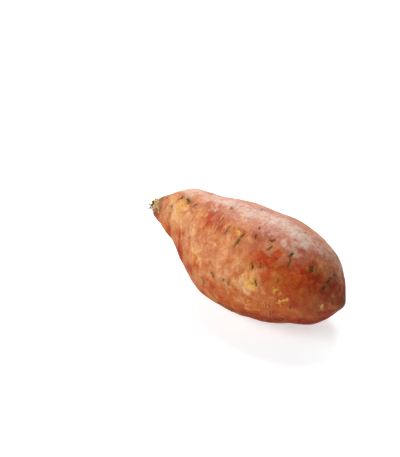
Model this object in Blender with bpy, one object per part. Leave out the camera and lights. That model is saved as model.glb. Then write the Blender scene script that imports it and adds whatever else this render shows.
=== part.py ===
"""A sweet potato: one plump storage root, lying on its belly.

The root lies along X, with the stem end at -X and the root tip at +X. Z is up, and the root rests on
z = 0 on a small flat spot. The origin is the bottom centre of its bounding box. Sizes are in metres.
"""

import math

import bmesh
import bpy
import numpy as np

NAME = "sweet_potato"

LENGTH = 0.152  # from the stem scar to the root tip, before the stub
HALF_WIDTH = 0.035  # half width of the plain ellipsoid that FULLNESS is measured against
HEIGHT_SHARE = 0.96  # height of a cross-section over its width
REST_CUT = 0.0010  # how deep the small flat spot is pressed into the belly

RINGS = 56  # cross-sections from end to end
SEGMENTS = 60  # points around each cross-section
END_CROWDING = 0.55  # how much closer the rings stand at both ends than in the middle

# Share of the length from the stem end, and how full the root is there against the ellipsoid: a slim
# neck, a belly that keeps its width for most of the length, and a blunt tip.
FULLNESS = (
    (0.00, 0.88), (0.04, 0.75), (0.10, 0.81), (0.20, 0.86), (0.35, 1.00), (0.55, 1.06), (0.80, 1.08),
    (0.95, 0.96), (1.00, 0.70),
)
# Share of the length, sideways offset of the centre line, and its height: the neck curves up.
SPINE = (
    (0.00, -0.0045, 0.046), (0.12, 0.003, 0.043), (0.30, 0.0015, 0.036), (0.50, 0.0, 0.0345),
    (0.88, 0.0, 0.036), (1.00, 0.0, 0.033),
)
LOBE = 0.02  # depth of the three soft lobes of a cross-section, as a share of its radius
LOBE_START = -1.0  # where the first lobe stands at the stem end, in radians from the top
LOBE_TWIST = 2.2  # how far the lobes turn from end to end, in radians

# Soft swells and dents: share of the length, degrees around from the top towards -Y, reach along the
# root, reach around it, and height out of the skin, which is negative for a dent.
SWELLS = (
    (0.13, 8, 0.011, 0.016, 0.0006),  # shoulder over the stem end
    (0.36, 20, 0.016, 0.008, -0.0009),  # shallow saddle behind the shoulder
    (0.25, 88, 0.012, 0.010, -0.0008),  # hollow low on the neck
    (0.69, 20, 0.006, 0.006, -0.0014),  # deep eye on the upper flank
    (0.62, 17, 0.007, 0.006, 0.0006),  # swollen skin before that eye
    (0.76, 14, 0.008, 0.006, 0.0006),  # swollen skin behind it
    (0.90, 62, 0.012, 0.012, -0.0007),  # flattened cheek near the tip
    (0.42, -75, 0.016, 0.012, -0.0011),  # long dent on the far side
    (0.74, -105, 0.014, 0.016, 0.0009),  # swell low on the far side
    (0.17, -120, 0.010, 0.012, -0.0008),  # hollow under the neck on the far side
)
STUB_REACH = 0.0036  # radius of the broken stub in the middle of the stem scar
STUB_HEIGHT = 0.0018
STUB_OFFSET = 0.0012  # how far the stub stands above the middle of the scar
SCAR_RADIUS = 0.0072  # corky rim round the stem scar
RIM_HEIGHT = 0.0003
TIP_REACH = 0.0045  # little nub at the root tip
TIP_HEIGHT = 0.0005


def clear_scene():
    for item in list(bpy.data.objects):
        bpy.data.objects.remove(item)


def through(stations, column, share):
    """A smooth curve through one column of a station table, read at an array of shares."""
    table = np.array(stations)
    at, value = table[:, 0], table[:, column]
    slope = np.gradient(value, at)
    left = np.clip(np.searchsorted(at, share) - 1, 0, len(at) - 2)
    span = at[left + 1] - at[left]
    t = (share - at[left]) / span
    return (
        (2 * t**3 - 3 * t**2 + 1) * value[left]
        + (t**3 - 2 * t**2 + t) * span * slope[left]
        + (3 * t**2 - 2 * t**3) * value[left + 1]
        + (t**3 - t**2) * span * slope[left + 1]
    )


def outwards(polar, around):
    """The outward direction of the plain ellipsoid, along which swells and dents are raised."""
    flatness = 2 * HALF_WIDTH / LENGTH
    x = -np.cos(polar) * flatness
    y = -np.sin(polar) * np.sin(around)
    z = np.sin(polar) * np.cos(around)
    direction = np.stack([x, y, z], axis=-1)
    return direction / np.linalg.norm(direction, axis=-1, keepdims=True)


def swelling(polar, around, radius):
    """Height of all swells and dents: a sum of round hills, each falling off like a bell curve."""
    height = np.zeros_like(polar)
    share = (1 - np.cos(polar)) / 2
    for at, turn, reach_along, reach_around, rise in SWELLS:
        along = (share - at) * LENGTH / reach_along
        angle = (around - math.radians(turn) + math.pi) % (2 * math.pi) - math.pi
        across = angle * radius / reach_around
        height += rise * np.exp(-(along**2) - across**2)
    return height


def end_details(polar, around, radius):
    """Height of the stem stub, the corky rim round the scar, and the nub at the root tip."""
    side, up = -radius * np.sin(around), radius * np.cos(around)
    at_stem = polar < math.pi / 2
    from_stub = np.hypot(side, up - STUB_OFFSET) / STUB_REACH
    stub = STUB_HEIGHT * np.exp(-(from_stub**4))
    rim = RIM_HEIGHT * np.exp(-(((radius - SCAR_RADIUS) / (0.25 * SCAR_RADIUS)) ** 2))
    nub = TIP_HEIGHT * np.exp(-((radius / TIP_REACH) ** 2))
    return np.where(at_stem, stub + rim, nub)


def skin_points(polar, around):
    """Points of the skin: polar is 0 at the stem end and pi at the tip, around is 0 at the top."""
    share = (1 - np.cos(polar)) / 2
    half_width = HALF_WIDTH * np.sin(polar) * through(FULLNESS, 1, share)
    radius = half_width * (1 + LOBE * np.cos(3 * around + LOBE_START + LOBE_TWIST * share))
    x = LENGTH * (share - 0.5)
    y = through(SPINE, 1, share) - radius * np.sin(around)
    z = through(SPINE, 2, share) + radius * HEIGHT_SHARE * np.cos(around)
    raised = swelling(polar, around, half_width) + end_details(polar, around, half_width)
    return np.stack([x, y, z], axis=-1) + raised[..., None] * outwards(polar, around)


def crowded(polar):
    """Moves evenly spaced rings towards both ends, where the skin turns fastest."""
    return polar - END_CROWDING * np.sin(2 * polar) / 2


def shaped_sphere():
    """A unit sphere whose rings become the root's cross-sections, its +Z pole the stem end."""
    body = bmesh.new()
    bmesh.ops.create_uvsphere(body, u_segments=SEGMENTS, v_segments=RINGS, radius=1)
    sphere = np.array([vertex.co for vertex in body.verts])
    polar = crowded(np.arccos(np.clip(sphere[:, 2], -1, 1)))
    around = -np.arctan2(sphere[:, 1], sphere[:, 0])
    points = skin_points(polar, around)
    for vertex, point in zip(body.verts, points):
        vertex.co = point
    return body


def press_flat_spot(body):
    """Slices the lowest REST_CUT off the belly, closes the cut and sets it down on z = 0."""
    floor = min(vertex.co.z for vertex in body.verts) + REST_CUT
    everything = body.verts[:] + body.edges[:] + body.faces[:]
    cut = bmesh.ops.bisect_plane(
        body, geom=everything, plane_co=(0, 0, floor), plane_no=(0, 0, -1), clear_outer=True
    )
    rim = [item for item in cut["geom_cut"] if isinstance(item, bmesh.types.BMEdge)]
    for vertex in {vertex for edge in rim for vertex in edge.verts}:
        vertex.co.z = floor
    bmesh.ops.contextual_create(body, geom=rim)


def centre_on_origin(body):
    """Moves the root so that the origin is the bottom centre of its bounding box."""
    points = np.array([vertex.co for vertex in body.verts])
    low, high = points.min(axis=0), points.max(axis=0)
    middle = (low + high) / 2
    bmesh.ops.translate(body, verts=body.verts, vec=(-middle[0], -middle[1], -low[2]))


def skin_material():
    material = bpy.data.materials.new("sweet_potato_skin")
    material.use_nodes = True
    shader = material.node_tree.nodes["Principled BSDF"]
    shader.inputs["Base Color"].default_value = (0.48, 0.16, 0.075, 1)
    shader.inputs["Roughness"].default_value = 0.55
    shader.inputs["Metallic"].default_value = 0.0
    return material


def build():
    clear_scene()
    body = shaped_sphere()
    press_flat_spot(body)
    centre_on_origin(body)
    bmesh.ops.recalc_face_normals(body, faces=body.faces)
    mesh = bpy.data.meshes.new(NAME)
    body.to_mesh(mesh)
    body.free()
    mesh.shade_smooth()
    mesh.set_sharp_from_angle(angle=math.radians(30))
    mesh.materials.append(skin_material())
    parts = bpy.data.collections.new("sweet_potato_parts")
    bpy.context.scene.collection.children.link(parts)
    parts.objects.link(bpy.data.objects.new(NAME, mesh))


build()
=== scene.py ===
"""The looks of one sweet potato, on a pale floor: its skin, eyes, stem scar, torn vine fibres and
rootlets.

Lengths are in metres, and those in a table whose comment says so are in millimetres. A spot on the
root is given by its share of the length, from 0 at the stem end to 1 at the root tip, and by its
degrees around, which are 0 at the top, 90 on the -Y flank and -90 on the +Y flank.
"""

import math

import bpy
import numpy as np
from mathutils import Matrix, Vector


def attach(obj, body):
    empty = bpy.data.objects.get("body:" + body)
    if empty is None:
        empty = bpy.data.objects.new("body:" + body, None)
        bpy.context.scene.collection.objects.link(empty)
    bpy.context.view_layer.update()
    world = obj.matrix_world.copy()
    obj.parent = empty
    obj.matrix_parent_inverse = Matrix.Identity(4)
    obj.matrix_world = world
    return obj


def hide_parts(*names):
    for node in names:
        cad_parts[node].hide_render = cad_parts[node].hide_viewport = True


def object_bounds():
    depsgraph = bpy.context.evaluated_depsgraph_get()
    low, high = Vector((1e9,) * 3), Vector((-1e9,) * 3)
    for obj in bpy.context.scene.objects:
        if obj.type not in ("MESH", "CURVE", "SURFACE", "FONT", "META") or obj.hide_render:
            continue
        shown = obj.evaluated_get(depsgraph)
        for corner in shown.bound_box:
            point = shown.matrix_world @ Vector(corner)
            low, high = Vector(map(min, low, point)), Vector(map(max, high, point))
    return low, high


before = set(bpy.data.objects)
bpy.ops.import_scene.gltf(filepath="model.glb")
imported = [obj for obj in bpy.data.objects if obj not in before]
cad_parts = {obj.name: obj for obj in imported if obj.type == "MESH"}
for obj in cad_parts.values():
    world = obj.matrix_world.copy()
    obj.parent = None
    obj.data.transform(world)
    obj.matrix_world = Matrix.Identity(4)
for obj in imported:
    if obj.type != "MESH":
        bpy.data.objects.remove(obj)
cad_low, cad_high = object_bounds()

BODY = "root"
NODE = "sweet_potato"
MM = 0.001

# ---- the form of the root ----

LENGTH = 0.152  # from the stem scar to the root tip, before the stub
HALF_WIDTH = 0.035  # of the plain ellipsoid that FULLNESS is measured against
HEIGHT_SHARE = 0.96  # height of a cross-section over its width

# Share of the length, and how full the root is there against the ellipsoid.
FULLNESS = (
    (0.00, 0.88), (0.04, 0.75), (0.10, 0.81), (0.20, 0.86), (0.35, 1.00), (0.55, 1.06),
    (0.80, 1.08), (0.95, 0.96), (1.00, 0.70),
)
# Share of the length, sideways offset of the centre line, and its height.
SPINE = (
    (0.00, -0.0045, 0.046), (0.12, 0.003, 0.043), (0.30, 0.0015, 0.036), (0.50, 0.0, 0.0345),
    (0.88, 0.0, 0.036), (1.00, 0.0, 0.033),
)
LOBE = 0.02  # depth of the three soft lobes of a cross-section, as a share of its radius
LOBE_START = -1.0  # phase of the lobes at the stem end, and how much it grows by the tip, in radians
LOBE_TWIST = 2.2

# Soft swells and dents: share, degrees around, reach along, reach around, and height out of the skin.
SWELLS = (
    (0.13, 8, 0.011, 0.016, 0.0006),
    (0.36, 20, 0.016, 0.008, -0.0009),
    (0.25, 88, 0.012, 0.010, -0.0008),
    (0.69, 20, 0.006, 0.006, -0.0014),
    (0.62, 17, 0.007, 0.006, 0.0006),
    (0.76, 14, 0.008, 0.006, 0.0006),
    (0.90, 62, 0.012, 0.012, -0.0007),
    (0.42, -75, 0.016, 0.012, -0.0011),
    (0.74, -105, 0.014, 0.016, 0.0009),
    (0.17, -120, 0.010, 0.012, -0.0008),
)
STUB_REACH = 0.0036  # radius of the broken stub in the middle of the stem scar
STUB_HEIGHT = 0.0018
STUB_OFFSET = 0.0012  # how far above the middle of the stem end it stands
SCAR_RADIUS = 0.0072  # corky rim round the stem scar
RIM_HEIGHT = 0.0003
RIM_WIDTH = 0.0007
TORN_REACH = 0.0045  # radius of the torn vine on the stub
TORN_SIDE = -0.0020  # its middle, along Y and Z from the stub's
TORN_UP = 0.0006
SPLINTERS = 70  # blunt cones that stand in the torn vine
SPLINTER_SEED = 17
FIBRES = 40  # loose fibres that leave the torn vine
FIBRE_ROOT = 0.0014  # how deep in the stub the fibres start
FIBRE_SEED = 21
TIP_REACH = 0.0045  # radius of the nub at the root tip
TIP_HEIGHT = 0.0005
FLOOR_SOFTNESS = 0.00012  # rounding where the skin leaves the floor

RINGS = 296  # cross-sections of the fine skin, between the two ends
SEGMENTS = 336  # points around each cross-section
END_DENSITY = 1.6  # how many more rings the stem end has for its length than the middle
END_STRETCH = 0.012  # length of root over which the rings thin out again
WAVES = 26  # cosine waves in one random relief

# ---- what grows on the skin ----

# Eyes on the flank that shows best, in millimetres and degrees: share, degrees around, length of the
# slit, half width of its crack, depth, height of the corky lips, slant from straight across, stain.
SEEN_EYES = (
    (0.56, 35, 11.5, 0.50, 0.75, 0.28, -10, 0.9),
    (0.48, 30, 7.5, 0.24, 0.35, 0.12, -5, 0.6),
    (0.69, 20, 3.6, 0.50, 1.10, 0.25, -45, 0.9),
    (0.70, 30, 5.4, 0.34, 0.35, 0.15, -10, 0.7),
    (0.79, 25, 4.6, 0.60, 0.60, 0.25, 0, 0.9),
    (0.80, 35, 5.8, 0.30, 0.40, 0.15, 5, 0.7),
    (0.88, 25, 4.6, 1.15, 0.50, 0.22, 20, 1.0),
    (0.94, 15, 4.6, 0.48, 0.45, 0.22, 5, 0.8),
    (0.94, 35, 5.2, 0.52, 0.50, 0.22, 10, 0.85),
    (0.94, -5, 3.0, 0.34, 0.30, 0.15, 10, 0.8),
    (0.98, 60, 3.0, 0.30, 0.30, 0.15, 30, 0.7),
    (0.61, 15, 2.6, 0.32, 0.30, 0.12, 10, 0.6),
    (0.62, 25, 3.4, 0.34, 0.30, 0.12, 10, 0.8),
    (0.76, -15, 3.0, 0.32, 0.30, 0.15, 0, 0.6),
    (0.19, 20, 6.0, 0.95, 0.60, 0.25, 60, 1.0),
    (0.15, 20, 3.4, 0.38, 0.35, 0.18, 20, 0.9),
    (0.24, 20, 3.6, 0.36, 0.35, 0.15, 0, 0.9),
    (0.13, 45, 2.8, 0.28, 0.30, 0.12, 0, 0.6),
    (0.07, 25, 3.0, 0.40, 0.35, 0.15, 0, 0.8),
    (0.42, 5, 2.8, 0.34, 0.35, 0.15, -10, 0.8),
    (0.45, 95, 4.4, 0.30, 0.35, 0.14, 5, 0.8),
    (0.50, 80, 4.6, 0.30, 0.35, 0.16, 60, 0.8),
    (0.56, 80, 2.8, 0.34, 0.30, 0.12, 0, 0.9),
    (0.59, 80, 3.4, 0.38, 0.35, 0.15, 10, 0.9),
    (0.71, 70, 4.8, 0.32, 0.35, 0.15, 20, 0.8),
    (0.70, 50, 2.6, 0.40, 0.35, 0.14, 10, 0.9),
    (0.67, 55, 4.4, 0.42, 0.40, 0.15, 20, 0.9),
    (0.79, 60, 3.4, 0.24, 0.25, 0.10, 0, 0.6),
    (0.82, 120, 4.4, 0.38, 0.35, 0.15, 10, 0.9),
    (0.31, 60, 2.6, 0.24, 0.25, 0.10, 0, 0.6),
    (0.86, 90, 2.6, 0.26, 0.25, 0.10, 0, 0.5),
)
# Rows of eyes on the flanks that show less: degrees around each row, and how many eyes stand in it.
HIDDEN_ROWS = ((-52, 5), (-88, 6), (-124, 5), (-160, 5), (150, 5))
HIDDEN_SEED = 11
SLIT_WANDER = 0.25  # how far a slit wanders to either side, in millimetres, and how fast along it
SLIT_WAVES = 2.6
LEAST_DENT = 0.55  # half width of the narrowest dent of an eye, in millimetres
# A crack with its lips and stain reaches only points this near its own tangent plane, and a patch only
# points this near, so that they stay on their own side of the root.
EYE_DEPTH = 0.008
PATCH_DEPTH = 0.02
# The eyes that a broken rootlet grows from, by their place in EYES.
ROOTLET_EYES = (1, 4, 8, 19, 24, 30, 33, 36, 39, 42, 45, 48, 51)
ROOTLET_SEED = 31

# Ochre patches, in millimetres: share, degrees around, reach along, reach around, strength.
OCHRE_PATCHES = (
    (0.17, 30, 3.4, 5.5, 0.75), (0.19, 60, 7, 9, 0.42), (0.54, 30, 2.4, 2.6, 1.15),
    (0.65, 60, 2.2, 2, 0.8), (0.68, 70, 3.6, 3, 0.95), (0.63, 75, 3.6, 2.6, 0.45),
    (0.71, 75, 1.8, 3.6, 0.65), (0.79, 70, 2.2, 3, 0.75), (0.72, 105, 2.6, 1.6, 0.7),
    (0.69, 100, 1.8, 1.4, 0.7), (0.82, 85, 1.4, 2.2, 0.8), (0.95, 90, 2.6, 1.6, 0.75),
    (0.38, 75, 6, 7, 0.45), (0.50, 5, 3.6, 2.6, 0.45), (0.59, 90, 4, 3, 0.45),
    (0.30, 40, 4, 5, 0.35), (0.28, 20, 6, 4, 0.4), (0.34, -60, 5, 4, 0.6),
    (0.61, -95, 3.6, 5, 0.8), (0.82, -60, 3, 4, 0.7), (0.48, -140, 6, 5, 0.65),
    (0.73, -150, 3.6, 3, 0.7), (0.18, -90, 6, 7, 0.5),
)
# Cream areas, in the same columns.
CREAMS = (
    (0.17, 60, 8, 9, 1), (0.12, 35, 6, 8, 0.9), (0.18, 25, 6, 8, 0.6),
    (0.26, 45, 4, 4, 0.5), (0.37, 70, 7, 7, 0.8), (0.30, 35, 5, 6, 0.4),
    (0.44, 50, 8, 4, 0.6), (0.50, 40, 2.8, 4.2, 0.6), (0.65, 70, 6, 7, 0.8),
    (0.56, 85, 7, 4, 0.4), (0.69, 80, 7, 5, 0.9), (0.75, 90, 6, 4, 0.4),
    (0.22, 45, 6, 6, 0.8), (0.52, 55, 7, 5, 0.6), (0.32, 55, 7, 8, 0.8),
    (0.15, 90, 4, 4, 0.7), (0.53, 70, 5, 4, 0.8), (0.47, 80, 5, 4, 0.7),
    (0.57, 75, 5, 4, 0.5), (0.74, 70, 4, 4, 0.65), (0.50, 5, 3.6, 2.6, 0.6),
    (0.66, 95, 6, 4, 0.7), (0.94, 90, 4, 3, 0.6), (0.85, 50, 5, 5, 0.3),
    (0.34, -60, 7, 6, 0.8), (0.60, -95, 8, 7, 0.9), (0.20, -110, 8, 9, 0.9),
    (0.78, -140, 8, 6, 0.7), (0.48, -160, 8, 7, 0.8),
)
# Dark red-brown areas, in the same columns. Many are the skin's own colour, but those along the bottom
# edge over the floor and on the lower -Y flank near the stem end are painted shade.
DEEP_AREAS_AND_SHADE = (
    (0.70, 40, 6, 5, 0.9), (0.71, 50, 5, 5, 1), (0.64, 30, 6, 5, 0.8),
    (0.74, 35, 4, 4, 0.5), (0.76, 50, 4, 4, 0.4), (0.86, 30, 8, 6.5, 1),
    (0.84, 40, 6, 6, 0.4), (0.82, 20, 2.8, 3, 0.9), (0.80, 40, 4, 4, 0.4),
    (0.93, 40, 9, 7, 1.1), (0.96, 5, 8, 10, 0.6), (0.88, 60, 8, 9, 0.1),
    (0.98, -50, 5, 8, 0.7), (0.79, 60, 8, 7, 0.3), (0.85, 80, 8, 7, 0.8),
    (0.77, 80, 4, 3, 0.5), (0.61, 85, 4, 3, 0.4), (0.54, 100, 8, 6, 0.4),
    (0.64, 115, 20, 6, 0.6), (0.83, 120, 16, 7, 0.9), (0.96, 95, 9, 12, 0.1),
    (0.50, 95, 4, 3, 0.6), (0.30, 15, 5, 4, 0.6), (0.35, 15, 4, 4, 0.5),
    (0.41, 25, 9, 8, 0.9), (0.34, 40, 4, 4, 0.3), (0.24, 20, 4, 4, 0.6),
    (0.11, 70, 4, 6, 0.5), (0.24, 90, 5, 9, 0.8), (0.24, 75, 4, 4, 0.4),
    (0.35, 95, 6, 4, 0.8), (0.05, 85, 3, 5, 0.9), (0.14, 100, 5, 5, 1),
    (0.25, 105, 5, 6, 1.1), (0.22, 115, 8, 7, 0.4), (0.38, 115, 9, 5, 0.3),
    (0.27, 5, 9, 6, 0.3), (0.41, 80, 4, 3, 0.3), (0.60, -70, 12, 9, 0.8),
    (0.87, -100, 12, 12, 1), (0.36, -110, 10, 9, 0.7), (0.70, -165, 18, 10, 0.8),
    (0.12, -150, 8, 9, 0.6), (0.96, -160, 8, 14, 0.8), (0.97, 135, 6, 8, 1),
    (0.89, 130, 12, 5, 1), (0.70, 130, 16, 5, 0.7),
)
# Rose blush where it is above 0, and orange where it is below, in the same columns.
BLUSHES = (
    (0.40, -5, 22, 13, 1), (0.64, -5, 22, 14, 1.1), (0.62, 20, 9, 6, 1),
    (0.70, 15, 9, 7, 0.9), (0.78, 15, 9, 9, 1.3), (0.88, -10, 9, 13, 1),
    (0.30, 50, 9, 7, 0.6), (0.44, 60, 9, 6, 0.4), (0.10, 55, 6, 8, 0.6),
    (0.72, 90, 12, 10, -1.0), (0.56, 100, 16, 9, -0.9), (0.86, 80, 12, 12, -0.9),
    (0.20, 65, 8, 9, -0.4), (0.38, 80, 9, 8, -0.4), (0.70, 115, 26, 9, -1.2),
    (0.64, 60, 6, 7, -0.4), (0.72, 40, 8, 7, -1.0), (0.79, 60, 10, 8, -0.9),
    (0.93, 100, 10, 9, -1.0), (0.85, 60, 12, 10, -0.8), (0.12, 95, 8, 8, -0.8),
    (0.93, 35, 9, 10, -1.2), (0.25, -80, 12, 12, -0.6), (0.55, -120, 18, 12, -0.8),
    (0.78, -80, 12, 10, 0.7),
)
# Pale dusty bloom, which along the top ridge and the upper rim of the tip end is also a painted
# highlight, in the same columns.
BLOOMS_AND_HIGHLIGHTS = (
    (0.16, -5, 12, 9, 0.8), (0.34, -5, 16, 10, 0.9), (0.52, 0, 15, 10, 0.9),
    (0.70, -5, 15, 10, 0.9), (0.63, -15, 8, 7, 0.2), (0.78, 5, 8, 8, 0.8),
    (0.76, -10, 5, 5, 0.4), (0.66, 15, 4, 3, 0.5), (0.79, 10, 4, 4, 0.6),
    (0.36, 10, 5, 4, 0.3), (0.87, -20, 9, 10, 0.7), (0.81, -40, 10, 8, 0.6),
    (0.93, -40, 7, 7, 0.9), (0.48, 175, 20, 14, 0.5), (0.30, -100, 12, 10, 0.4),
)
# Grey rubbed marks, in the same columns.
SCUFFS = (
    (0.61, 20, 2.2, 5, 0.8), (0.70, 30, 1.6, 3.4, 0.9), (0.69, 5, 5, 3, 0.5),
    (0.80, 0, 5, 3, 0.5), (0.95, -5, 7, 9, 0.15), (0.98, 30, 6, 9, 0.15),
    (0.41, 0, 8, 3, 0.5), (0.50, 0, 3.4, 2.4, 0.6), (0.33, 15, 3, 5, 0.4),
    (0.56, -110, 7, 3, 0.6), (0.84, -130, 5, 6, 0.5), (0.30, -140, 6, 4, 0.5),
)
# Bundles of fine scratches round the root, in the same columns.
SCRATCHES = (
    (0.42, 20, 3.4, 13, 1.3), (0.77, 105, 3.4, 9, 0.8), (0.60, -80, 4, 14, 0.8),
)
SCRATCH_SPACING = 0.0021

# ---- colours, as linear red, green and blue ----

SALMON = (0.40, 0.138, 0.050, 1)
TAN = (0.475, 0.215, 0.070, 1)
PALE = (0.53, 0.300, 0.160, 1)
ROSE = (0.32, 0.078, 0.042, 1)
# The pale bloom colour below also serves as a painted highlight along the top ridge.
BLOOM_AND_HIGHLIGHT = (0.44, 0.335, 0.275, 1)
ORANGE = (0.37, 0.088, 0.007, 1)
CREAM = (0.56, 0.345, 0.160, 1)
GOLD = (0.53, 0.275, 0.052, 1)
RUST = (0.23, 0.013, 0.001, 1)
EMBER = (0.34, 0.046, 0.005, 1)
DUSK = (0.27, 0.070, 0.036, 1)
RUBBED = (0.34, 0.215, 0.150, 1)
CORK = (0.140, 0.042, 0.005, 1)
OLIVE = (0.230, 0.092, 0.013, 1)
OLD_GOLD = (0.38, 0.135, 0.014, 1)
CRACK = (0.070, 0.022, 0.003, 1)
STRAW = (0.60, 0.400, 0.180, 1)
SCAR_BROWN = (0.155, 0.085, 0.045, 1)
SCAR_TAN = (0.36, 0.210, 0.110, 1)
DRY_BROWN = (0.120, 0.055, 0.020, 1)
# The grain multiplies what lies under it by a mix of these two.
GRAIN_DARK = (0.80, 0.71, 0.64, 1)
GRAIN_LIGHT = (1.20, 1.29, 1.36, 1)

# ---- camera and light ----

FLOOR_WIDTH = 12
FLOOR_BASE = (0.62, 0.66, 0.68, 1)
# The floor glows less round the root, which paints a darker shadow there on top of the real one.
PAINTED_SHADOW_GLOW = 0.50  # of the floor under the root
PAINTED_SHADOW_REACH = (0.06, 0.24)  # distances from the origin where the glow starts to rise and stops
WALL_RADIUS = 0.48 * FLOOR_WIDTH
WALL_HEIGHT = 8
WALL_SIDES = 96
WALL_GLOW = 1.0
PALE_ROUGHNESS = 0.9
SKIN_SPECULAR = 0.24

ROOM_LIGHT = 0.11  # strength of the even light from all round
# Each light: its direction from the root's middle, distance, width and watts.
KEY_ABOVE = ((-0.30, 0.42, 1.0), 1.0, 0.42, 9.6)
RIM_BEHIND = ((-0.50, 0.85, 0.42), 1.1, 0.9, 8)
FILL_FRONT = ((-0.52, -0.88, 0.60), 1.2, 0.7, 17.2)

CAMERA_AZIMUTH = 40  # degrees from straight ahead of the -Y flank, towards the root tip
CAMERA_ELEVATION = 34
CAMERA_DISTANCE = 0.7138
CAMERA_LENS = 85  # millimetres, on the default 36 mm sensor
CAMERA_AIM = (-0.0297, -0.0119, 0.0498)


def through(stations, column, share):
    """A smooth curve through one column of a station table: a cubic between each two stations, whose
    slope at a station comes from the stations on both sides of it."""
    table = np.array(stations)
    at, value = table[:, 0], table[:, column]
    slope = np.gradient(value, at)
    left = np.clip(np.searchsorted(at, share) - 1, 0, len(at) - 2)
    span = at[left + 1] - at[left]
    t = (share - at[left]) / span
    return (
        (2 * t**3 - 3 * t**2 + 1) * value[left]
        + (t**3 - 2 * t**2 + t) * span * slope[left]
        + (3 * t**2 - 2 * t**3) * value[left + 1]
        + (t**3 - t**2) * span * slope[left + 1]
    )


def unit(vectors):
    return vectors / np.linalg.norm(vectors, axis=-1, keepdims=True)


def swelling(polar, around, radius):
    """Height of the soft swells: a sum of round hills, each falling off like a bell curve."""
    height = np.zeros_like(polar)
    share = (1 - np.cos(polar)) / 2
    for at, turn, reach_along, reach_around, rise in SWELLS:
        along = (share - at) * LENGTH / reach_along
        angle = (around - math.radians(turn) + math.pi) % (2 * math.pi) - math.pi
        across = angle * radius / reach_around
        height += rise * np.exp(-(along**2) - across**2)
    return height


def end_details(polar, around, radius):
    """Height of the stem stub, the corky rim round the scar, and the nub at the root tip."""
    side, up = -radius * np.sin(around), radius * np.cos(around)
    from_stub = np.hypot(side, up - STUB_OFFSET) / STUB_REACH
    stub = STUB_HEIGHT * np.exp(-(from_stub**4))
    rim = RIM_HEIGHT * np.exp(-(((radius - SCAR_RADIUS) / (0.25 * SCAR_RADIUS)) ** 2))
    nub = TIP_HEIGHT * np.exp(-((radius / TIP_REACH) ** 2))
    return np.where(polar < math.pi / 2, stub + rim, nub)


def form_points(polar, around):
    """The smooth root: an ellipse at each share of the length, whose width is the ellipsoid's times
    the fullness, with three soft lobes, set on the spine and raised by the swells along the
    ellipsoid's outward direction. polar is 0 at the stem end and pi at the tip, around is 0 at the
    top."""
    share = (1 - np.cos(polar)) / 2
    half_width = HALF_WIDTH * np.sin(polar) * through(FULLNESS, 1, share)
    radius = half_width * (1 + LOBE * np.cos(3 * around + LOBE_START + LOBE_TWIST * share))
    x = LENGTH * (share - 0.5)
    y = through(SPINE, 1, share) - radius * np.sin(around)
    z = through(SPINE, 2, share) + radius * HEIGHT_SHARE * np.cos(around)
    flatness = 2 * HALF_WIDTH / LENGTH
    outward = unit(np.stack(
        [
            -np.cos(polar) * flatness,
            -np.sin(polar) * np.sin(around),
            np.sin(polar) * np.cos(around),
        ],
        axis=-1,
    ))
    raised = swelling(polar, around, half_width) + end_details(polar, around, half_width)
    return np.stack([x, y, z], axis=-1) + raised[..., None] * outward


def ring_places():
    """Polar angle of each ring: equal steps of a measure that grows with the arc length along the
    root, and faster near the stem end, where the skin needs more rings."""
    polar = np.linspace(0, math.pi, 4000)
    profile = form_points(polar, np.zeros_like(polar))
    steps = np.linalg.norm(np.diff(profile, axis=0), axis=1)
    length = np.concatenate([[0], np.cumsum(steps)])
    extra = END_DENSITY * END_STRETCH * (1 - np.exp(-length / END_STRETCH))
    measure = length + extra
    return np.interp(np.linspace(0, measure[-1], RINGS + 2)[1:-1], measure, polar)


class Skin:
    """The grid of the fine skin: where each point lies, which way it faces, how far the form is
    shifted into the frame, and where the stub of the stem stands."""

    def __init__(self):
        rings = ring_places()[:, None]
        turns = np.linspace(0, 2 * math.pi, SEGMENTS, endpoint=False)[None, :]
        self.polar, self.around = np.broadcast_arrays(rings, turns)
        smooth = form_points(self.polar, self.around)
        low, high = smooth.min(axis=(0, 1)), smooth.max(axis=(0, 1))
        self.shift = np.array([
            (cad_low.x + cad_high.x - low[0] - high[0]) / 2,
            (cad_low.y + cad_high.y - low[1] - high[1]) / 2,
            cad_high.z - high[2],
        ])
        self.points = smooth + self.shift
        self.normals = facing(self.points)
        self.share = (1 - np.cos(self.polar)) / 2
        stem_end = form_points(np.array(0.0), np.array(0.0))
        self.stub = self.shift + stem_end + (0, 0, STUB_OFFSET)

    def spot(self, share, degrees):
        """Middle of a spot on the smooth skin, and its directions across the root and along it."""
        polar, around, step = math.acos(1 - 2 * share), math.radians(degrees), 1e-3
        middle, further, beside = self.shift + form_points(
            np.array([polar, polar + step, polar]), np.array([around, around, around + step])
        )
        along = unit(further - middle)
        across = beside - middle
        across = unit(across - (across @ along) * along)
        return middle, across, along

    def local(self, points, share, degrees, slant=0):
        """Distances of points from a spot: across the root, along it, and square to the skin. A slant
        turns the first two about the spot, in degrees."""
        middle, across, along = self.spot(share, degrees)
        turn = math.radians(slant)
        first = math.cos(turn) * across + math.sin(turn) * along
        second = -math.sin(turn) * across + math.cos(turn) * along
        away = points - middle
        return away @ first, away @ second, away @ np.cross(across, along)


def facing(points):
    """Outward direction at each point of a ring grid: the cross product of its two tangents."""
    around = np.roll(points, -1, axis=1) - np.roll(points, 1, axis=1)
    along = np.gradient(points, axis=0)
    normals = unit(np.cross(along, around))
    centre = points.mean(axis=(0, 1))
    return normals * np.sign(((points - centre) * normals).sum())


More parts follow.
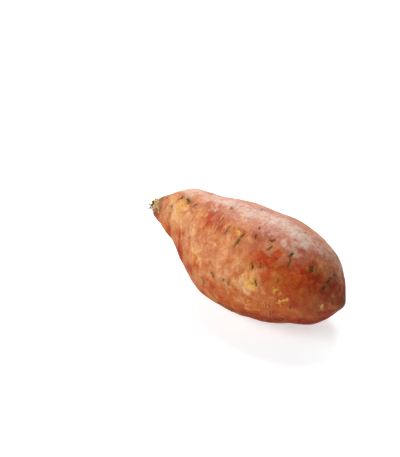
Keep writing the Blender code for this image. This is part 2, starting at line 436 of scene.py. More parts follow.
def ripples(points, size, seed):
    """Smooth random relief of about unit height: a sum of cosine waves, each with a random direction,
    a random phase and a wavelength near size."""
    draw = np.random.default_rng(seed)
    direction = unit(draw.normal(size=(WAVES, 3)))
    wavelength = size * draw.uniform(0.75, 1.35, WAVES)
    phase = draw.uniform(0, 2 * math.pi, WAVES)
    angle = points @ (direction * (2 * math.pi / wavelength)[:, None]).T + phase
    return np.cos(angle).sum(axis=-1) / math.sqrt(WAVES / 2)


def eased(value, low, high):
    """0 below low and 1 above high, with a smooth step between; low may be the larger."""
    t = np.clip((value - low) / (high - low), 0, 1)
    return t * t * (3 - 2 * t)


def warped(points):
    """Points moved about by two sizes of ripples, so that a round patch gets a wandering edge."""
    moved = [
        1.6 * MM * ripples(points, 9 * MM, 300 + axis)
        + 0.6 * MM * ripples(points, 3.5 * MM, 310 + axis)
        for axis in range(3)
    ]
    return points + np.stack(moved, axis=-1)


def patches(skin, points, table):
    """Sum of soft patches, each falling off like a bell curve from its middle."""
    total = np.zeros(points.shape[:-1])
    for share, degrees, reach_along, reach_around, strength in table:
        across, along, out = skin.local(points, share, degrees)
        far = (across / (reach_around * MM)) ** 2 + (along / (reach_along * MM)) ** 2
        total += strength * np.exp(-far) * (np.abs(out) < PATCH_DEPTH)
    return total


def hidden_eyes():
    """Eyes in the rows of the flanks that show less, spread over the length and jittered."""
    draw = np.random.default_rng(HIDDEN_SEED)
    eyes = []
    for turn, count in HIDDEN_ROWS:
        for place in range(count):
            share = 0.1 + 0.84 * (place + draw.uniform(0.15, 0.85)) / count
            length = draw.uniform(2.8, 8.0)
            eyes.append((
                share, turn + draw.uniform(-13, 13), length, draw.uniform(0.24, 0.5),
                0.25 + 0.06 * length, 0.10 + 0.02 * length, draw.uniform(-12, 12),
                draw.uniform(0.6, 1.0),
            ))
    return tuple(eyes)


EYES = SEEN_EYES + hidden_eyes()


def from_slit(skin, number):
    """For one eye, in metres: how far each point lies across the root from its middle, how far along
    the root from its wandering slit, how far off its tangent plane, and half the slit's length."""
    share, degrees, length, _, _, _, slant, _ = EYES[number]
    across, along, out = skin.local(skin.points, share, degrees, slant)
    half = length * MM / 2
    wander = SLIT_WANDER * MM * np.sin(across / half * SLIT_WAVES + number)
    return across, along - wander, out, half


def eye_relief(skin):
    """Height of all eyes: each is a soft bowl with a narrow dent across the root, which thins out to
    its two ends, between two corky lips, the one towards the tip lower. The bowl also dimples the
    skin straight opposite."""
    height = np.zeros(skin.share.shape)
    for number, (_, _, _, crack, depth, lip, _, _) in enumerate(EYES):
        across, off, out, half = from_slit(skin, number)
        near = np.exp(-((across / half) ** 4)) * (np.abs(out) < EYE_DEPTH)
        wide = max(crack, LEAST_DENT) * MM
        height -= 0.6 * depth * MM * near * np.exp(-((off / wide) ** 2))
        bowl = np.exp(-((across / (1.1 * half)) ** 2) - (off / (2.2 * MM)) ** 2)
        height -= 0.5 * depth * MM * bowl
        side = np.where(off > 0, 0.55, 1.0)
        lips = np.exp(-(((np.abs(off) - 2.1 * wide) / (0.9 * wide)) ** 2))
        height += lip * MM * side * near * lips
    return height


def relief(skin):
    """Height of the fine skin over the smooth form: slow undulation, lengthwise furrows, orange peel,
    wrinkles across both ends, the torn face of the stub, and the eyes. The last number of each
    ripples call is its seed."""
    points, share = skin.points, skin.share
    slow = 0.22 * ripples(points, 30 * MM, 1) + 0.09 * ripples(points, 12 * MM, 2)
    peel = 0.030 * ripples(points, 5.0 * MM, 3) + 0.014 * ripples(points, 2.4 * MM, 4)
    furrows = 0.10 * ripples(points * (0.16, 1, 1), 11 * MM, 5)
    wrinkles = ripples(points * (1, 0.3, 0.3), 2.7 * MM, 6)
    wrinkles = wrinkles * (0.6 + 0.4 * ripples(points, 9 * MM, 7))
    at_ends = eased(share, 0.22, 0.02) + 0.7 * eased(share, 0.86, 0.99)
    wrinkled = 0.02 + 0.05 * at_ends
    torn = torn_share(skin) * (splinters(skin) + 0.20 * ripples(points, 1.0 * MM, 8) - 0.2)
    bumps = (slow + peel + furrows + wrinkled * wrinkles + torn) * MM
    return bumps + eye_relief(skin)


def from_torn(points, stub):
    """Sideways and upward distance of points from the middle of the torn vine."""
    return points[..., 1] - stub[1] - TORN_SIDE, points[..., 2] - stub[2] - TORN_UP


def torn_share(skin):
    """1 on the torn vine, falling to 0 just outside it, with a wandering edge."""
    side, up = from_torn(skin.points, skin.stub)
    away = np.hypot(side, up) / (1 + 0.16 * ripples(skin.points, 4 * MM, 10))
    return eased(away, 1.12 * TORN_REACH, 0.92 * TORN_REACH) * (skin.share < 0.12)


def splinters(skin):
    """Height in millimetres of the broken fibre bundles: the highest of many blunt cones that stand in
    the torn vine."""
    draw = np.random.default_rng(SPLINTER_SEED)
    side, up = from_torn(skin.points, skin.stub)
    height = np.zeros_like(side)
    for _ in range(SPLINTERS):
        out, turn = TORN_REACH * math.sqrt(draw.uniform(0, 1)), draw.uniform(0, 2 * math.pi)
        reach, tall = draw.uniform(0.5, 1.0) * MM, draw.uniform(0.3, 1.7)
        away = np.hypot(side - out * math.cos(turn), up - out * math.sin(turn))
        height = np.maximum(height, tall * np.clip(1.5 * (1 - away / reach), 0, 1))
    return height


def settled(points):
    """Presses whatever lies under the floor up to it, with a small rounding at the edge."""
    pressed = points.copy()
    height = points[..., 2]
    pressed[..., 2] = (height + np.sqrt(height**2 + FLOOR_SOFTNESS**2)) / 2
    return pressed


def ring_quads(rings, segments):
    """Corners of the quads between the rings of a grid whose points are numbered ring after ring."""
    ring, turn = np.meshgrid(np.arange(rings - 1), np.arange(segments), indexing="ij")
    following = (turn + 1) % segments
    corners = [
        ring * segments + turn,
        ring * segments + following,
        (ring + 1) * segments + following,
        (ring + 1) * segments + turn,
    ]
    return np.stack(corners, axis=-1).reshape(-1, 4)


def closed_mesh(name, grid):
    """A mesh of a ring grid: quads between the rings, and a fan to the middle of each end ring."""
    rings, segments = grid.shape[:2]
    ends = grid[[0, -1]].mean(axis=1)
    points = np.concatenate([grid.reshape(-1, 3), ends])
    quads = ring_quads(rings, segments)
    turns = np.arange(segments)
    after = (turns + 1) % segments
    last = (rings - 1) * segments
    stem_middle = np.full(segments, rings * segments)
    tip_middle = stem_middle + 1
    first_fan = np.stack([stem_middle, after, turns], axis=-1)
    last_fan = np.stack([tip_middle, last + turns, last + after], axis=-1)
    mesh = bpy.data.meshes.new(name)
    mesh.from_pydata(points.tolist(), [], quads.tolist() + first_fan.tolist() + last_fan.tolist())
    mesh.shade_smooth()
    return mesh


def store(mesh, name, values):
    """Keeps one number per point of a mesh as an attribute, for its material to read."""
    attribute = mesh.attributes.new(name, "FLOAT", "POINT")
    attribute.data.foreach_set("value", values.astype(np.float32))


def paint(mesh, name, values):
    """Stores one number per point of the skin's grid, and its end rings' means at the two ends."""
    store(mesh, name, np.concatenate([values.reshape(-1), values[[0, -1]].mean(axis=1)]))


def slit_places(skin):
    """For the nearest eye of each point: how far the point lies beside the slit in millimetres, how
    far along it as a share of its half length, and half the crack's width in millimetres, which is 0
    well away from it. The fourth is the strongest stain of any eye there."""
    beside = np.full(skin.share.shape, 9.0)
    along_slit = np.full(skin.share.shape, 3.0)
    width = np.zeros(skin.share.shape)
    stain = np.zeros(skin.share.shape)
    nearest = np.full(skin.share.shape, 1e9)
    for number, (_, _, _, crack, _, _, _, strength) in enumerate(EYES):
        across, off, out, half = from_slit(skin, number)
        off = off / MM
        reach = np.abs(across) / half
        distance = np.hypot(off / 2.4, reach) + 10 * (np.abs(out) > EYE_DEPTH)
        closer = distance < nearest
        nearest = np.where(closer, distance, nearest)
        beside = np.where(closer, np.clip(off, -9, 9), beside)
        along_slit = np.where(closer, np.clip(reach, 0, 3), along_slit)
        near = eased(np.abs(off), 2.6, 1.8) * eased(reach, 1.7, 1.3)
        width = np.where(closer, crack * near, width)
        soft = np.exp(-((off / (1.3 + 2.2 * crack)) ** 2) - (0.8 * reach) ** 4)
        stain = np.maximum(stain, strength * soft * (np.abs(out) < EYE_DEPTH))
    return beside, along_slit, width, stain


def skin_piece(skin, finish):
    """The fine skin over the whole root, with all that its material reads kept on its points."""
    raised = skin.points + relief(skin)[..., None] * skin.normals
    mesh = closed_mesh("sweet_potato_skin", settled(raised))
    wandering = warped(skin.points)
    paint(mesh, "blush", patches(skin, wandering, BLUSHES))
    # The bloom areas are partly dusty skin and partly a painted highlight along the top ridge.
    paint(mesh, "bloom_and_highlight", patches(skin, wandering, BLOOMS_AND_HIGHLIGHTS))
    paint(mesh, "cream", patches(skin, wandering, CREAMS))
    # The deep areas are partly red-brown skin and partly painted shade along the bottom edge and the
    # lower flank.
    paint(mesh, "deep_and_shade", patches(skin, wandering, DEEP_AREAS_AND_SHADE))
    paint(mesh, "ochre", patches(skin, wandering, OCHRE_PATCHES))
    paint(mesh, "rubbed", patches(skin, wandering, SCUFFS))
    paint(mesh, "scratched", patches(skin, skin.points, SCRATCHES))
    beside, along_slit, width, stain = slit_places(skin)
    paint(mesh, "slit_beside", beside)
    paint(mesh, "slit_along", along_slit)
    paint(mesh, "slit_width", width)
    paint(mesh, "stain", stain)
    from_stub = np.hypot(skin.points[..., 1] - skin.stub[1], skin.points[..., 2] - skin.stub[2])
    at_stem = skin.share < 0.15
    paint(mesh, "scar", eased(from_stub, 1.15 * SCAR_RADIUS, 0.80 * SCAR_RADIUS) * at_stem)
    # The rim attribute is a thin line of painted shade in the crease round the stem scar.
    paint(mesh, "rim", np.exp(-(((from_stub - 1.05 * SCAR_RADIUS) / RIM_WIDTH) ** 2)) * at_stem)
    paint(mesh, "torn", torn_share(skin))
    paint(mesh, "tip", eased(skin.share, 0.985, 0.999))
    piece = bpy.data.objects.new("sweet_potato_skin", mesh)
    bpy.context.scene.collection.objects.link(piece)
    mesh.materials.append(finish)
    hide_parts(NODE)
    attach(piece, BODY)


class Finish:
    """One material, and short calls that add its nodes and join them."""

    def __init__(self, name):
        self.material = bpy.data.materials.new(name)
        self.material.use_nodes = True
        self.nodes = self.material.node_tree.nodes
        self.links = self.material.node_tree.links
        self.shader = self.nodes["Principled BSDF"]
        self.place = self.nodes.new("ShaderNodeTexCoord").outputs["Object"]

    def put(self, value, socket):
        """Joins a node's output to a socket, or sets a plain value on it."""
        if isinstance(value, bpy.types.NodeSocket):
            self.links.new(value, socket)
        else:
            socket.default_value = value

    def attribute(self, name):
        node = self.nodes.new("ShaderNodeAttribute")
        node.attribute_name = name
        return node.outputs["Fac"]

    def mapped(self, scale=(1, 1, 1), turn=(0, 0, 0), shift=(0, 0, 0)):
        """Object coordinates scaled, turned and shifted. A scale under 1 stretches a pattern along
        that axis, and a shift keeps two noises of one size from looking alike."""
        node = self.nodes.new("ShaderNodeMapping")
        for name, value in (("Scale", scale), ("Rotation", turn), ("Location", shift)):
            node.inputs[name].default_value = value
        self.links.new(self.place, node.inputs["Vector"])
        return node.outputs["Vector"]

    def noise(self, size, detail=2, rough=0.5, place=None, bend=0.0):
        """Soft noise from 0 to 1 whose largest patches are about size wide."""
        node = self.nodes.new("ShaderNodeTexNoise")
        self.links.new(place or self.place, node.inputs["Vector"])
        node.inputs["Scale"].default_value = 1 / size
        node.inputs["Detail"].default_value = detail
        node.inputs["Roughness"].default_value = rough
        node.inputs["Distortion"].default_value = bend
        return node.outputs["Fac"]

    def cells(self, size, place):
        """Irregular cells about size wide, each with a random colour and a distance to its point."""
        node = self.nodes.new("ShaderNodeTexVoronoi")
        self.links.new(place, node.inputs["Vector"])
        node.inputs["Scale"].default_value = 1 / size
        return node

    def sums(self, operation, first, second=0.0, third=0.0, clamp=False):
        """The result of one operation on up to three values or outputs."""
        node = self.nodes.new("ShaderNodeMath")
        node.operation = operation
        node.use_clamp = clamp
        for value, socket in zip((first, second, third), node.inputs):
            self.put(value, socket)
        return node.outputs[0]

    def total(self, first, *weighted):
        """first plus each (weight, value)."""
        result = first
        for weight, value in weighted:
            result = self.sums("MULTIPLY_ADD", value, weight, result)
        return result

    def eased(self, value, low, high, bottom=0.0, top=1.0):
        """bottom at low and top at high, with a smooth step between; low may be the larger."""
        node = self.nodes.new("ShaderNodeMapRange")
        node.interpolation_type = "SMOOTHSTEP"
        first, last = (low, high) if low < high else (high, low)
        start, end = (bottom, top) if low < high else (top, bottom)
        for number, given in enumerate((value, first, last, start, end)):
            self.put(given, node.inputs[number])
        return node.outputs[0]

    def mixed(self, share, under, over, blend="MIX"):
        """The colour under, with a share of the colour over it."""
        node = self.nodes.new("ShaderNodeMix")
        node.data_type = "RGBA"
        node.blend_type = blend
        self.put(share, node.inputs["Factor"])
        self.put(under, node.inputs[6])
        self.put(over, node.inputs[7])
        return node.outputs[2]

    def bumped(self, height, distance):
        """A normal tilted as if the surface stood out by distance where height is 1."""
        node = self.nodes.new("ShaderNodeBump")
        node.inputs["Distance"].default_value = distance
        node.inputs["Strength"].default_value = 1.0
        self.put(height, node.inputs["Height"])
        return node.outputs["Normal"]


class Patterns:
    """The random patterns that the layers of the skin share, each with its patch width in metres."""

    def __init__(self, skin):
        self.clouds = skin.noise(0.010, detail=5, rough=0.55, bend=0.7)
        drifting = skin.mapped(shift=(0.31, 0.17, 0.23))
        self.drifts = skin.noise(0.0085, detail=5, rough=0.55, bend=0.9, place=drifting)
        shaded = skin.mapped(shift=(0.57, 0.41, 0.11))
        self.shades = skin.noise(0.012, detail=5, rough=0.58, bend=0.7, place=shaded)
        self.mottle = skin.noise(0.0040, detail=4, rough=0.6, bend=0.5)
        beside = skin.mapped(shift=(0.13, 0.29, 0.07))
        self.fine = skin.noise(0.0021, detail=4, rough=0.65, bend=0.8, place=beside)
        self.grain = skin.noise(0.0011, detail=2, rough=0.6)
        crumbly = skin.mapped(shift=(0.05, 0.02, 0.09))
        self.crumbs = skin.noise(0.0011, detail=3, rough=0.65, bend=0.4, place=crumbly)
        across = skin.mapped((1.0, 0.50, 0.50))
        self.wisps = skin.noise(0.0030, detail=4, rough=0.6, bend=1.2, place=across)
        leaning = skin.mapped((0.9, 0.50, 0.50), (0.3, 0, 0.5))
        self.streaks = skin.noise(0.0026, detail=4, rough=0.6, bend=1.2, place=leaning)
        meshed = skin.mapped(shift=(0.37, 0.03, 0.19))
        net = skin.noise(0.0042, detail=4, rough=0.62, bend=1.2, place=meshed)
        off_middle = skin.sums("ABSOLUTE", skin.sums("SUBTRACT", net, 0.5))
        self.net = skin.eased(off_middle, 0.040, 0.004)


def ground(skin, seen):
    """Salmon and tan in clouds, with pale wisps round the root."""
    colour = skin.mixed(skin.eased(seen.clouds, 0.38, 0.68, 0.0, 0.9), SALMON, TAN)
    colour = skin.mixed(skin.eased(seen.wisps, 0.46, 0.76, 0.0, 0.45), colour, PALE)
    return skin.mixed(skin.eased(seen.fine, 0.50, 0.80, 0.0, 0.5), colour, PALE)


def flushed(skin, seen, colour):
    """Orange and rose flushes, and the cream areas."""
    blush = skin.attribute("blush")
    orange = skin.eased(skin.total(seen.drifts, (-0.34, blush)), 0.42, 0.86, 0.0, 0.9)
    colour = skin.mixed(orange, colour, ORANGE)
    rose = skin.total(seen.shades, (0.34, blush), (0.2, seen.mottle))
    colour = skin.mixed(skin.eased(rose, 0.50, 1.02, 0.0, 0.9), colour, ROSE)
    cream = skin.total(seen.mottle, (0.5, skin.attribute("cream")), (0.45, seen.fine))
    return skin.mixed(skin.eased(cream, 0.82, 1.42, 0.0, 0.9), colour, CREAM)


def darkened_and_shaded(skin, seen, colour):
    """Rust areas mottled with ember and dusky rose, partly the skin's own colour and partly painted
    shade along the bottom edge and the lower flank, and dark streaks across the root.
    """
    embers = skin.mixed(skin.eased(seen.mottle, 0.40, 0.62), RUST, EMBER)
    dusky = skin.total(seen.shades, (0.3, seen.wisps), (0.25, skin.attribute("blush")))
    embers = skin.mixed(skin.eased(dusky, 0.58, 0.84, 0.0, 0.8), embers, DUSK)
    deep_and_shade = skin.total(seen.drifts, (0.46, skin.attribute("deep_and_shade")), (0.65, seen.mottle))
    deep_and_shade = skin.total(deep_and_shade, (0.35, seen.fine))
    # This mix paints shade along the bottom edge and the lower flank as well as red-brown skin.
    colour = skin.mixed(skin.eased(deep_and_shade, 0.86, 1.46), colour, embers)
    return skin.mixed(skin.eased(seen.streaks, 0.50, 0.78, 0.0, 0.5), colour, RUST)


def dusted_and_highlit(skin, seen, colour):
    """Pale dusty bloom, which along the top ridge is also a painted highlight, with its net of fine
    lines, and the grey rubbed marks.
    """
    area = skin.attribute("bloom_and_highlight")
    bloom_and_highlight = skin.total(seen.mottle, (0.5, area), (0.45, seen.fine))
    # This mix paints a highlight along the top ridge as well as the pale dusty bloom.
    colour = skin.mixed(skin.eased(bloom_and_highlight, 0.82, 1.42, 0.0, 0.9), colour, BLOOM_AND_HIGHLIGHT)
    lines = skin.sums("MULTIPLY", seen.net, skin.sums("MULTIPLY_ADD", area, 0.5, 0.05), clamp=True)
    colour = skin.mixed(lines, colour, PALE)
    broken = skin.eased(seen.fine, 0.40, 0.62)
    rubbed = skin.sums("MULTIPLY", skin.attribute("rubbed"), broken, clamp=True)
    return skin.mixed(skin.sums("MULTIPLY", rubbed, 0.45), colour, RUBBED)


def gilded(skin, seen, colour):
    """Gold patches, where the outer skin has worn thin."""
    gold = skin.total(seen.mottle, (0.9, skin.attribute("ochre")), (0.25, seen.fine))
    worn = skin.mixed(skin.eased(seen.fine, 0.34, 0.52), OLD_GOLD, GOLD)
    return skin.mixed(skin.eased(gold, 0.84, 1.36, 0.0, 0.9), colour, worn)


def grained(skin, seen, colour):
    """Small dark lenticels, and a fine light and dark grain over everything. Gives the colour and the
    lenticels."""
    speck_cells = skin.cells(0.0042, skin.mapped((1.0, 0.75, 0.75)))
    chosen = skin.eased(speck_cells.outputs["Color"], 0.55, 0.66)
    speck = skin.eased(speck_cells.outputs["Distance"], 0.15, 0.05)
    speck = skin.sums("MULTIPLY", skin.sums("MULTIPLY", speck, chosen), 0.6)
    colour = skin.mixed(speck, colour, CORK)
    coarse = skin.sums("MULTIPLY", skin.eased(seen.fine, 0.25, 0.75), 0.45)
    share = skin.total(coarse, (0.55, skin.eased(seen.grain, 0.28, 0.72)))
    grain = skin.mixed(share, GRAIN_DARK, GRAIN_LIGHT)
    return skin.mixed(1.0, colour, grain, blend="MULTIPLY"), speck


def eye_crack(skin, seen):
    """How far a point lies in the crack of an eye: a spindle that is widest in the middle, with a
    ragged edge, broken by crumbs of cork."""
    ragged = skin.sums("MULTIPLY_ADD", seen.crumbs, 2.4, -1.2)
    beside = skin.sums("ABSOLUTE", skin.sums("ADD", skin.attribute("slit_beside"), ragged))
    along = skin.attribute("slit_along")
    squared = skin.sums("MULTIPLY", along, along)
    bow = skin.sums("SQRT", skin.sums("MAXIMUM", skin.sums("MULTIPLY_ADD", squared, -1.0, 1.0), 0.0))
    half_width = skin.sums("MULTIPLY", skin.attribute("slit_width"), bow)
    crack = skin.eased(skin.sums("SUBTRACT", half_width, beside), -0.30, 0.25)
    crack = skin.sums("MULTIPLY", crack, skin.eased(along, 1.15, 0.85))
    return skin.sums("MULTIPLY", crack, skin.eased(seen.fine, 0.38, 0.52, 0.35, 1.0))


def eyed(skin, seen, colour, crack):
    """Olive brown cork round each eye with crumbs of gold in it, and the dark brown crack. Gives the
    colour and the cork's area."""
    area = skin.attribute("stain")
    stain = skin.sums("MULTIPLY", area, skin.eased(seen.fine, 0.36, 0.58, 0.25, 1.0))
    cork = skin.mixed(skin.eased(seen.crumbs, 0.42, 0.58), CORK, OLIVE)
    colour = skin.mixed(skin.sums("MULTIPLY", stain, 0.9), colour, cork)
    crumbs = skin.sums("MULTIPLY", area, skin.eased(seen.grain, 0.56, 0.66, 0.0, 0.45))
    colour = skin.mixed(crumbs, colour, GOLD)
    return skin.mixed(skin.sums("MULTIPLY", crack, 0.88), colour, CRACK), stain


def scratched_over(skin, seen, colour):
    """Fine scratches, in turn dark and pale. Gives the colour and the dark ones."""
    dark_lines, pale_lines = scratch_lines(skin)
    broken = skin.eased(seen.fine, 0.38, 0.56)
    area = skin.sums("MULTIPLY", skin.attribute("scratched"), broken)
    dark = skin.sums("MULTIPLY", area, dark_lines)
    colour = skin.mixed(skin.sums("MULTIPLY", dark, 0.6), colour, CORK)
    pale = skin.sums("MULTIPLY", area, pale_lines)
    return skin.mixed(skin.sums("MULTIPLY", pale, 0.7), colour, PALE), dark


def scarred(skin, seen, colour):
    """The dry scar of the stem end with a dark line round its edge, which is painted shade of the
    crease there, the straw of the torn stub, and the root tip. Gives the colour and the scar."""
    scar = skin.total(skin.attribute("scar"), (0.5, seen.fine), (0.4, seen.crumbs))
    scar = skin.eased(scar, 0.75, 1.15)
    dry = skin.mixed(skin.eased(seen.fine, 0.42, 0.62), SCAR_BROWN, SCAR_TAN)
    dry = skin.mixed(skin.eased(seen.crumbs, 0.56, 0.68, 0.0, 0.8), dry, DRY_BROWN)
    colour = skin.mixed(skin.sums("MULTIPLY", scar, 0.95), colour, dry)
    # The rim line is painted shade in the crease round the stem scar.
    rim = skin.sums("MULTIPLY", skin.attribute("rim"), skin.eased(seen.crumbs, 0.38, 0.56, 0.3, 0.9))
    colour = skin.mixed(rim, colour, DRY_BROWN)
    straw = skin.mixed(skin.eased(seen.crumbs, 0.42, 0.56), DRY_BROWN, STRAW)
    colour = skin.mixed(skin.attribute("torn"), colour, straw)
    tip = skin.sums("MULTIPLY", skin.attribute("tip"), skin.eased(seen.crumbs, 0.40, 0.60, 0.3, 0.9))
    return skin.mixed(tip, colour, CORK), scar


def skin_finish():
    """Thin satin root skin. An area's attribute is added to noise before a soft threshold, so its edge
    wanders and it is mottled inside."""
    skin = Finish("copper_rose_skin")
    seen = Patterns(skin)
    colour = flushed(skin, seen, ground(skin, seen))
    colour = dusted_and_highlit(skin, seen, darkened_and_shaded(skin, seen, colour))
    colour, speck = grained(skin, seen, gilded(skin, seen, colour))
    crack = eye_crack(skin, seen)
    colour, stain = eyed(skin, seen, colour, crack)
    colour, scratch = scratched_over(skin, seen, colour)
    colour, scar = scarred(skin, seen, colour)
    skin.put(colour, skin.shader.inputs["Base Color"])
    rough = skin.total(skin.eased(seen.fine, 0.3, 0.7, 0.40, 0.56), (0.25, stain), (0.35, scar))
    skin.put(rough, skin.shader.inputs["Roughness"])
    skin.shader.inputs["Specular IOR Level"].default_value = SKIN_SPECULAR
    height = skin.total(0.0, (0.35, seen.grain), (0.5, seen.wisps), (0.6, seen.fine))
    height = skin.total(height, (0.1, seen.net), (-2.0, crack), (-0.7, scratch), (-0.4, speck))
    skin.put(skin.bumped(height, 0.0002), skin.shader.inputs["Normal"])
    return skin.material


def scratch_lines(finish):
    """Thin dark and pale lines round the root, about 2 mm apart: the crests and the troughs of a wave
    along X, leaning a little with Y, whose phase wanders."""
    parts = finish.nodes.new("ShaderNodeSeparateXYZ")
    finish.links.new(finish.place, parts.inputs[0])
    wander = finish.noise(0.008, detail=2)
    place = finish.total(parts.outputs["X"], (0.18, parts.outputs["Y"]), (0.006, wander))
    wave = finish.sums("SINE", finish.sums("MULTIPLY", place, 2 * math.pi / SCRATCH_SPACING))
    return finish.eased(wave, 0.80, 0.98), finish.eased(wave, -0.80, -0.98)


def tube(path, radii, sides):
    """Rings of a round tube: at each point of the path, a circle of its radius, square to the path.
    The circle's first direction is the one nearest to +Z that is square to the path, or nearest to +Y
    where the path runs almost upright."""
    tangent = unit(np.gradient(path, axis=0))
    guide = np.where(np.abs(tangent[:, 2:]) < 0.9, (0.0, 0.0, 1.0), (0.0, 1.0, 0.0))
    first = unit(guide - (guide * tangent).sum(axis=1, keepdims=True) * tangent)
    second = np.cross(tangent, first)
    turn = np.linspace(0, 2 * math.pi, sides, endpoint=False)[None, :, None]
    circle = np.cos(turn) * first[:, None] + np.sin(turn) * second[:, None]
    return path[:, None] + radii[:, None, None] * circle


def tubes_piece(name, tubes, finish):
    """One piece of many closed tubes, which keeps how far along its tube each point lies."""
    points, faces, along = [], [], []
    for grid in tubes:
        rings, sides = grid.shape[:2]
        start = sum(len(part) for part in points)
        faces += (start + ring_quads(rings, sides)).tolist()
        faces.append((start + np.arange(sides)[::-1]).tolist())
        faces.append((start + np.arange((rings - 1) * sides, rings * sides)).tolist())
        points.append(grid.reshape(-1, 3))
        along.append(np.repeat(np.linspace(0, 1, rings), sides))
    mesh = bpy.data.meshes.new(name)
    mesh.from_pydata(np.concatenate(points).tolist(), [], faces)
    store(mesh, "along", np.concatenate(along))
    mesh.shade_smooth()
    mesh.materials.append(finish)
    piece = bpy.data.objects.new(name, mesh)
    bpy.context.scene.collection.objects.link(piece)
    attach(piece, BODY)


def hair(start, outward, drift, length, thickness):
    """A tapering hair: it leaves the skin along outward and bends by drift over its length."""
    t = np.linspace(0, 1, 9)[:, None]
    path = start + length * (t * outward + t**2 * drift)
    radii = thickness / 2 * (1 - 0.75 * t[:, 0] ** 1.5)
    return tube(path, radii, 6)


def vine_fibres(skin):
    """Torn fibres of the vine on the stub: blunt splinters that leave it roughly along -X."""
    draw = np.random.default_rng(FIBRE_SEED)
    middle = skin.stub + (FIBRE_ROOT, TORN_SIDE, TORN_UP)
    tubes = []
    for _ in range(FIBRES):
        turn, share = draw.uniform(0, 2 * math.pi), math.sqrt(draw.uniform(0.02, 1.0))
        away = np.array([0, math.cos(turn), math.sin(turn)])
        start = middle + 0.9 * share * TORN_REACH * away + np.array([0.0012 * share**2, 0, 0])
        outward = unit(np.array([-1.0, 0, 0]) + 0.8 * share * away + draw.normal(0, 0.25, 3))
        drift = draw.normal(0, 0.35, 3)
        length, thickness = draw.uniform(1.2, 2.8) * MM, draw.uniform(0.5, 1.1) * MM
        tubes.append(hair(start, outward, drift, length, thickness))
    return tubes


def rootlets(skin):
    """Broken rootlets: thin hairs that stand out of some of the eyes."""
    draw = np.random.default_rng(ROOTLET_SEED)
    tubes = []
    for number in ROOTLET_EYES:
        share, degrees, slit = EYES[number][:3]
        middle, across, along = skin.spot(share, degrees)
        normal = unit(np.cross(across, along))
        if normal @ (middle - skin.points.mean(axis=(0, 1))) < 0:
            normal = -normal
        start = middle + draw.uniform(-0.3, 0.3) * slit * MM * across - 0.5 * MM * normal
        outward = unit(0.55 * normal + draw.normal(0, 0.5) * across + draw.normal(0, 0.5) * along)
        drift = draw.normal(0, 0.35, 3)
        length, thickness = draw.uniform(1.6, 4.0) * MM, draw.uniform(0.16, 0.28) * MM
        tubes.append(hair(start, outward, drift, length, thickness))
    return tubes


def fibre_finish():
    """Dry straw fibres, browner where they leave the root."""
    straw = Finish("dry_vine_fibre")
    streaks = straw.noise(0.0008, detail=3, place=straw.mapped((0.3, 1, 1)))
    colour = straw.mixed(straw.eased(straw.attribute("along"), 0.1, 0.7), DRY_BROWN, STRAW)
    colour = straw.mixed(straw.eased(streaks, 0.42, 0.62, 0.0, 0.8), colour, CORK)
    straw.put(colour, straw.shader.inputs["Base Color"])
    straw.put(straw.eased(streaks, 0.3, 0.7, 0.7, 0.9), straw.shader.inputs["Roughness"])
    straw.put(straw.bumped(streaks, 0.0001), straw.shader.inputs["Normal"])
    return straw.material


def glowing(name, base):
    """A matt finish that also glows white, as a light table does, so that it stays pale."""
    finish = Finish(name)
    finish.shader.inputs["Base Color"].default_value = base
    finish.shader.inputs["Roughness"].default_value = PALE_ROUGHNESS
    finish.shader.inputs["Emission Color"].default_value = (1, 1, 1, 1)
    finish.shader.inputs["Emission Strength"].default_value = WALL_GLOW
    return finish


def floor_finish():
    """Pale floor whose glow is low round the root, which paints a darker shadow where the real shadow
    lies, and rises outwards.
    """
    pale = glowing("pale_floor", FLOOR_BASE)
    away = pale.nodes.new("ShaderNodeVectorMath")
    away.operation = "LENGTH"
    pale.links.new(pale.place, away.inputs[0])
    # The glow dips round the root: a painted shadow on the floor.
    glow = pale.eased(away.outputs["Value"], *PAINTED_SHADOW_REACH, PAINTED_SHADOW_GLOW, WALL_GLOW)
    pale.put(glow, pale.shader.inputs["Emission Strength"])
    return pale.material


def floor_piece():
    """A plain pale floor, which the backdrop stands on."""
    bpy.ops.mesh.primitive_plane_add(size=FLOOR_WIDTH)
    floor = bpy.context.object
    floor.name = "pale_floor"
    floor.data.materials.append(floor_finish())
    floor.visible_glossy = False


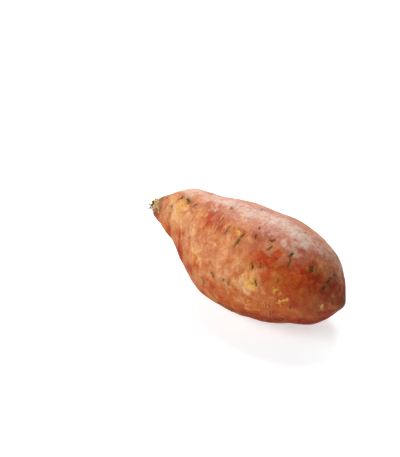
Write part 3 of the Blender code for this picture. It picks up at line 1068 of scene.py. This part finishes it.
def backdrop_piece():
    """A pale round wall near the floor's edge, which only the camera sees, so it lights nothing."""
    bpy.ops.mesh.primitive_cylinder_add(
        vertices=WALL_SIDES, radius=WALL_RADIUS, depth=WALL_HEIGHT, end_fill_type="NOTHING",
        location=(0, 0, WALL_HEIGHT / 2),
    )
    wall = bpy.context.object
    bpy.ops.object.transform_apply(location=True)
    wall.name = "pale_backdrop"
    wall.data.materials.append(glowing("pale_backdrop", (0, 0, 0, 1)).material)
    wall.visible_glossy = False
    wall.visible_diffuse = False
    wall.visible_shadow = False


def soft_light(name, towards, distance, size, power):
    """A square white light that stands off in a direction from the root's middle and faces it."""
    middle = np.array([0, 0, cad_high.z / 2])
    direction = unit(np.array(towards, float))
    data = bpy.data.lights.new(name, "AREA")
    data.size = size
    data.energy = power
    light = bpy.data.objects.new(name, data)
    light.location = middle + distance * direction
    light.rotation_euler = look_along(-direction)
    bpy.context.scene.collection.objects.link(light)
    return light


def look_along(direction):
    """Turn of an object whose -Z points in a direction, with its +Y as near to up as it can be."""
    return Vector(direction).to_track_quat("-Z", "Y").to_euler()


def studio():
    """Even white light from all round and three soft lights, of which the skin doesn't mirror the
    fill."""
    world = bpy.data.worlds.new("pale_room")
    world.use_nodes = True
    background = world.node_tree.nodes["Background"]
    background.inputs["Color"].default_value = (1, 1, 1, 1)
    background.inputs["Strength"].default_value = ROOM_LIGHT
    bpy.context.scene.world = world
    soft_light("key_above", *KEY_ABOVE)
    soft_light("rim_behind", *RIM_BEHIND)
    fill = soft_light("fill_front_left", *FILL_FRONT)
    fill.visible_glossy = False
    bpy.context.scene.view_settings.view_transform = "Standard"


def camera():
    """The camera, at its distance from the aim in the direction of its azimuth and elevation."""
    azimuth, elevation = math.radians(CAMERA_AZIMUTH), math.radians(CAMERA_ELEVATION)
    level = math.cos(elevation)
    away = np.array(
        [math.sin(azimuth) * level, -math.cos(azimuth) * level, math.sin(elevation)]
    )
    data = bpy.data.cameras.new("camera")
    data.lens = CAMERA_LENS
    eye = bpy.data.objects.new("camera", data)
    eye.location = np.array(CAMERA_AIM) + CAMERA_DISTANCE * away
    eye.rotation_euler = look_along(-away)
    bpy.context.scene.collection.objects.link(eye)
    bpy.context.scene.camera = eye


def main():
    skin = Skin()
    skin_piece(skin, skin_finish())
    straw = fibre_finish()
    tubes_piece("vine_fibres", vine_fibres(skin), straw)
    tubes_piece("rootlets", rootlets(skin), straw)
    floor_piece()
    backdrop_piece()
    studio()
    camera()


main()
